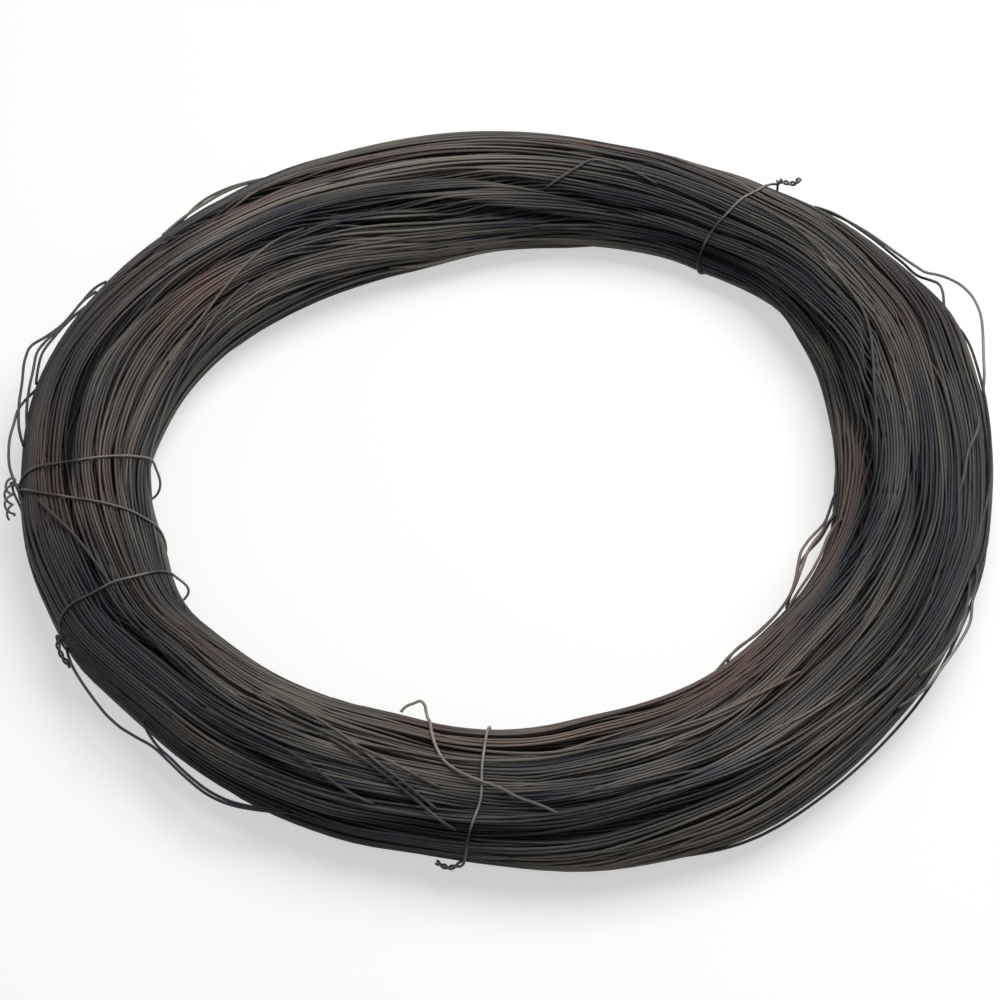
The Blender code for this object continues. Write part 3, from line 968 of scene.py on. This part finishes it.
def zone_places(tree, place):
    """Where a place lies among the zones: round the coil and up as a vector, and outwards as a number."""
    flat = add(tree, "VectorMath", {0: place, 1: (1, 1, 0)}, operation="MULTIPLY")
    far = add(tree, "VectorMath", {0: flat}, operation="LENGTH").outputs["Value"]
    ahead = add(tree, "VectorMath", {0: flat}, operation="NORMALIZE")
    ahead = {0: ahead, 1: (ZONES_ROUND, ZONES_ROUND, 0)}
    ahead = add(tree, "VectorMath", ahead, operation="MULTIPLY")
    up = {0: place, 1: (0, 0, ZONES_ACROSS)}
    up = add(tree, "VectorMath", up, operation="MULTIPLY")
    lying = add(tree, "VectorMath", {0: ahead, 1: up}, operation="ADD")
    return lying, add(tree, "Math", {0: far, 1: ZONES_ACROSS}, operation="MULTIPLY")


def annealed_steel(name, black, grey, rust, standing_off_light, roughness):
    """Mild steel wire annealed black: dull blue black scale, greyer where it is rubbed, with brown rust,
    and with painted shade on deep turns and in patches and painted light on turns that stand off and in
    patches.
    """
    material = bpy.data.materials.new(name)
    material.use_nodes = True
    tree = material.node_tree
    shader = tree.nodes["Principled BSDF"]
    # The scale is an oxide, so it hides nearly all of the bare metal's shine
    shader.inputs["Metallic"].default_value = 0.15
    shader.inputs["Specular IOR Level"].default_value = 0.15
    run, depth, rusted, scale = (
        add(tree, "Attribute", attribute_name=kind).outputs["Fac"]
        for kind in ("run", "depth", "rust", "scale")
    )
    place = add(tree, "TexCoord").outputs["Object"]
    lying, out = zone_places(tree, place)
    zones = {"Vector": lying, "W": out, "Scale": 1.0, "Detail": 3.0}
    zones = add(tree, "TexNoise", zones, noise_dimensions="4D")
    # The scale changes along the wire too, so each turn differs a little from the next
    change = {"W": run, "Scale": CHANGES_ALONG, "Detail": 2.0}
    change = add(tree, "TexNoise", change, noise_dimensions="1D")
    tone = add(tree, "Math", {0: zones, 1: change}, operation="ADD")
    tone = add(tree, "MapRange", {0: tone, 1: 0.83, 2: 1.20})
    colour = add(tree, "MixRGB", {0: tone, 1: linear(black), 2: linear(grey)})
    # Rust comes through in spots smaller than the zones
    spots = {"Vector": lying, "W": out, "Scale": 1.7, "Detail": 5.0}
    spots = add(tree, "TexNoise", spots, noise_dimensions="4D")
    spots = add(tree, "Math", {0: rusted, 1: spots}, operation="ADD")
    spots = add(tree, "MapRange", {0: spots, 1: 0.55, 2: 1.3, 4: 0.8})
    colour = add(tree, "MixRGB", {0: spots, 1: colour, 2: linear(rust)})
    # Painted shade: the patches turn the colour towards a bluish dark
    painted_shade_share = add(tree, "MapRange", {0: scale, 1: 0.0, 2: 0.5, 4: 0.9})
    colour = add(tree, "MixRGB", {0: painted_shade_share, 1: colour, 2: linear(PAINTED_SHADE_TINT)})
    # Painted shade: turns that lie deeper under the skin are drawn darker. Painted light: turns that stand
    # off the skin are drawn lighter
    painted_shade_deep = add(tree, "MapRange", {0: depth, 1: 0.0048, 2: 0.0010, 3: 0.3, 4: 1.0})
    painted_light_and_shade = add(tree, "MapRange", {0: depth, 1: -0.0012, 2: -0.0060, 3: 1.0, 4: standing_off_light})
    painted_light_and_shade = add(tree, "Math", {0: painted_shade_deep, 1: painted_light_and_shade}, operation="MULTIPLY")
    # The patches scale the colour down as painted shade, and up as painted light where their strength is
    # below nought
    shade_and_light_gain = add(tree, "Math", {0: 1.0, 1: scale}, operation="SUBTRACT")
    painted_light_and_shade = add(tree, "Math", {0: painted_light_and_shade, 1: shade_and_light_gain}, operation="MULTIPLY")
    colour = add(tree, "VectorMath", {0: colour, "Scale": painted_light_and_shade}, operation="SCALE")
    tree.links.new(colour.outputs[0], shader.inputs["Base Color"])
    # The grain makes the sheen uneven along the wire
    grain = add(tree, "TexNoise", {"Vector": place, "Scale": GRAINS, "Detail": 2.0})
    sheen = {0: grain, 1: 0.3, 2: 0.7, 3: roughness - 0.08, 4: roughness + 0.1}
    sheen = add(tree, "MapRange", sheen)
    tree.links.new(sheen.outputs[0], shader.inputs["Roughness"])
    bump = add(tree, "Bump", {"Height": grain, "Distance": 0.00003, "Strength": 0.6})
    tree.links.new(bump.outputs[0], shader.inputs["Normal"])
    return material


# Camera, floor and light

def camera():
    """The photo's view: from 2 m off, looking down at the near side of the coil."""
    elevation = math.radians(47.4)
    distance = 2.0
    pixels = 1000
    metres_a_pixel = 0.00053
    target = Vector((-0.0023, -0.0195, 0.025))
    back = Vector((0, -math.cos(elevation), math.sin(elevation)))
    data = bpy.data.cameras.new("camera")
    data.sensor_width = 36.0
    data.lens = data.sensor_width * distance / (pixels * metres_a_pixel)
    obj = bpy.data.objects.new("camera", data)
    obj.location = target + distance * back
    obj.rotation_euler = (math.radians(90) - elevation, 0, 0)
    bpy.context.scene.collection.objects.link(obj)
    bpy.context.scene.camera = obj


def soft_lamp(name, place, size, watts):
    """A round soft lamp that points at the coil."""
    data = bpy.data.lights.new(name, "AREA")
    data.shape = "DISK"
    data.size = size
    data.energy = watts
    obj = bpy.data.objects.new(name, data)
    obj.location = place
    obj.rotation_euler = Vector(place).to_track_quat("Z", "Y").to_euler()
    bpy.context.scene.collection.objects.link(obj)


def shown_as_white(tree):
    """1 where a camera, mirror or glass ray looks at the backdrop, and 0 where it only lights."""
    path = add(tree, "LightPath").outputs
    seen = {0: path["Is Camera Ray"], 1: path["Is Glossy Ray"]}
    seen = {0: add(tree, "Math", seen, operation="MAXIMUM"), 1: path["Is Transmission Ray"]}
    return add(tree, "Math", seen, operation="MAXIMUM")


def studio_light():
    """Soft light that comes mostly from behind and above, as in the photo, before a white backdrop."""
    world = bpy.data.worlds.new("studio")
    world.use_nodes = True
    bpy.context.scene.world = world
    tree = world.node_tree
    background = tree.nodes["Background"]
    background.inputs["Color"].default_value = (1, 1, 1, 1)
    strength = add(tree, "MapRange", {0: shown_as_white(tree), 3: 0.17, 4: 1.0})
    tree.links.new(strength.outputs[0], background.inputs["Strength"])
    soft_lamp("lamp_above", (0.60, 0.45, 1.63), 1.7, 29)
    soft_lamp("lamp_front", (-0.7, -1.2, 1.5), 1.0, 1.5)
    bpy.context.scene.view_settings.view_transform = "Standard"


def pale_floor():
    """A floor of matt studio paper: pale and even, with the coil's shadow, and whiter further out."""
    bpy.ops.mesh.primitive_circle_add(vertices=96, radius=4, fill_type="NGON", location=(0, 0, 0))
    floor = bpy.context.active_object
    floor.name = "floor"
    material = bpy.data.materials.new("pale_floor")
    material.use_nodes = True
    tree = material.node_tree
    shader = tree.nodes["Principled BSDF"]
    shader.inputs["Base Color"].default_value = linear("#bdbdbb")
    shader.inputs["Roughness"].default_value = 0.9
    shader.inputs["Emission Color"].default_value = (1, 1, 1, 1)
    place = add(tree, "TexCoord").outputs["Object"]
    far = add(tree, "VectorMath", {0: place}, operation="LENGTH").outputs["Value"]
    glow = add(tree, "MapRange", {0: far, 1: 0.8, 2: 3.2, 3: 0.55, 4: 0.95})
    glow = add(tree, "Math", {0: shown_as_white(tree), 1: glow}, operation="MULTIPLY")
    tree.links.new(glow.outputs[0], shader.inputs["Emission Strength"])
    floor.data.materials.append(material)
    floor.select_set(False)


camera()
studio_light()
pale_floor()

# All the wire settles together: the wound run first, and then each loose turn
skin = Skin(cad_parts["wire_coil"])
rng = np.random.default_rng(SEED)
wound_stations, wound_turn, wound_height = wound_turns(skin, rng)
loose_turns = [*LOOSE_TURNS.values(), *random_strays(rng)]
stations = [wound_stations]
wanted = [skin.places(wound_stations, wound_turn, wound_height)]
highest = [np.full(len(wound_stations), -WIRE / 2)]
for loose in loose_turns:
    along = loose_stations(loose, 1)
    stations.append(along.astype(int) % STATIONS)
    wanted.append(loose_route(skin, loose, along))
    highest.append(np.full(len(along), LOOSE_REACH))
ends = np.cumsum([len(run) for run in stations])
starts = np.append(0, ends[:-1])
stations, wanted, highest = (np.concatenate(each) for each in (stations, wanted, highest))
places = settled(skin, stations, wanted, highest, starts)

# The loose turns are drawn finer than they settle
loose_runs, loose_depths = [], []
for loose, start, end in zip(loose_turns, starts[1:], ends[1:]):
    along, fine = loose_stations(loose, 1), loose_stations(loose, FINE_STEP)
    strayed = places[start:end] - wanted[start:end]
    moved = np.stack([np.interp(fine, along, strayed[:, side]) for side in (0, 1)], axis=1)
    strand = loose_route(skin, loose, fine) + moved
    loose_runs.append(skin.in_space(fine, strand))
    loose_depths.append(skin.depths(fine, strand))
free_end = eased(over_skin(skin, FREE_END), FREE_END_SPACING)
loose_runs.append(free_end)
loose_depths.append(np.full(len(free_end), FREE_END_PAINTED_LIGHT_DEPTH))
loose_starts = [TONE_STEP * number for number in range(len(loose_runs))]

# The ties are the same steel, rubbed brighter as they were pulled. The core is the turns in full shade,
# coloured near black as painted shade
wire_finish = annealed_steel("black_annealed_wire", "#303338", "#706a62", "#635048", 2.4, 0.52)
tie_finish = annealed_steel("drawn_annealed_wire", "#504f53", "#8b8883", "#6a5851", 1.3, 0.42)
core_finish = annealed_steel("shaded_wire", "#0e0f12", "#161618", "#1a1412", 1.0, 0.7)
wound = len(wound_stations)
coil_points = skin.in_space(stations[:wound], places[:wound])
coil_turns(skin, coil_points, skin.depths(stations[:wound], places[:wound]), wire_finish)
loose_wires = wire_mesh(skin, "loose_turns", loose_runs, loose_starts, loose_depths, 2)
kept(loose_wires, "annealed_wire", wire_finish)
coil_core(skin, core_finish)
strands = Strands(skin, stations, places, starts)
for tie in TIES:
    tie_wire(skin, strands, tie, tie_finish)
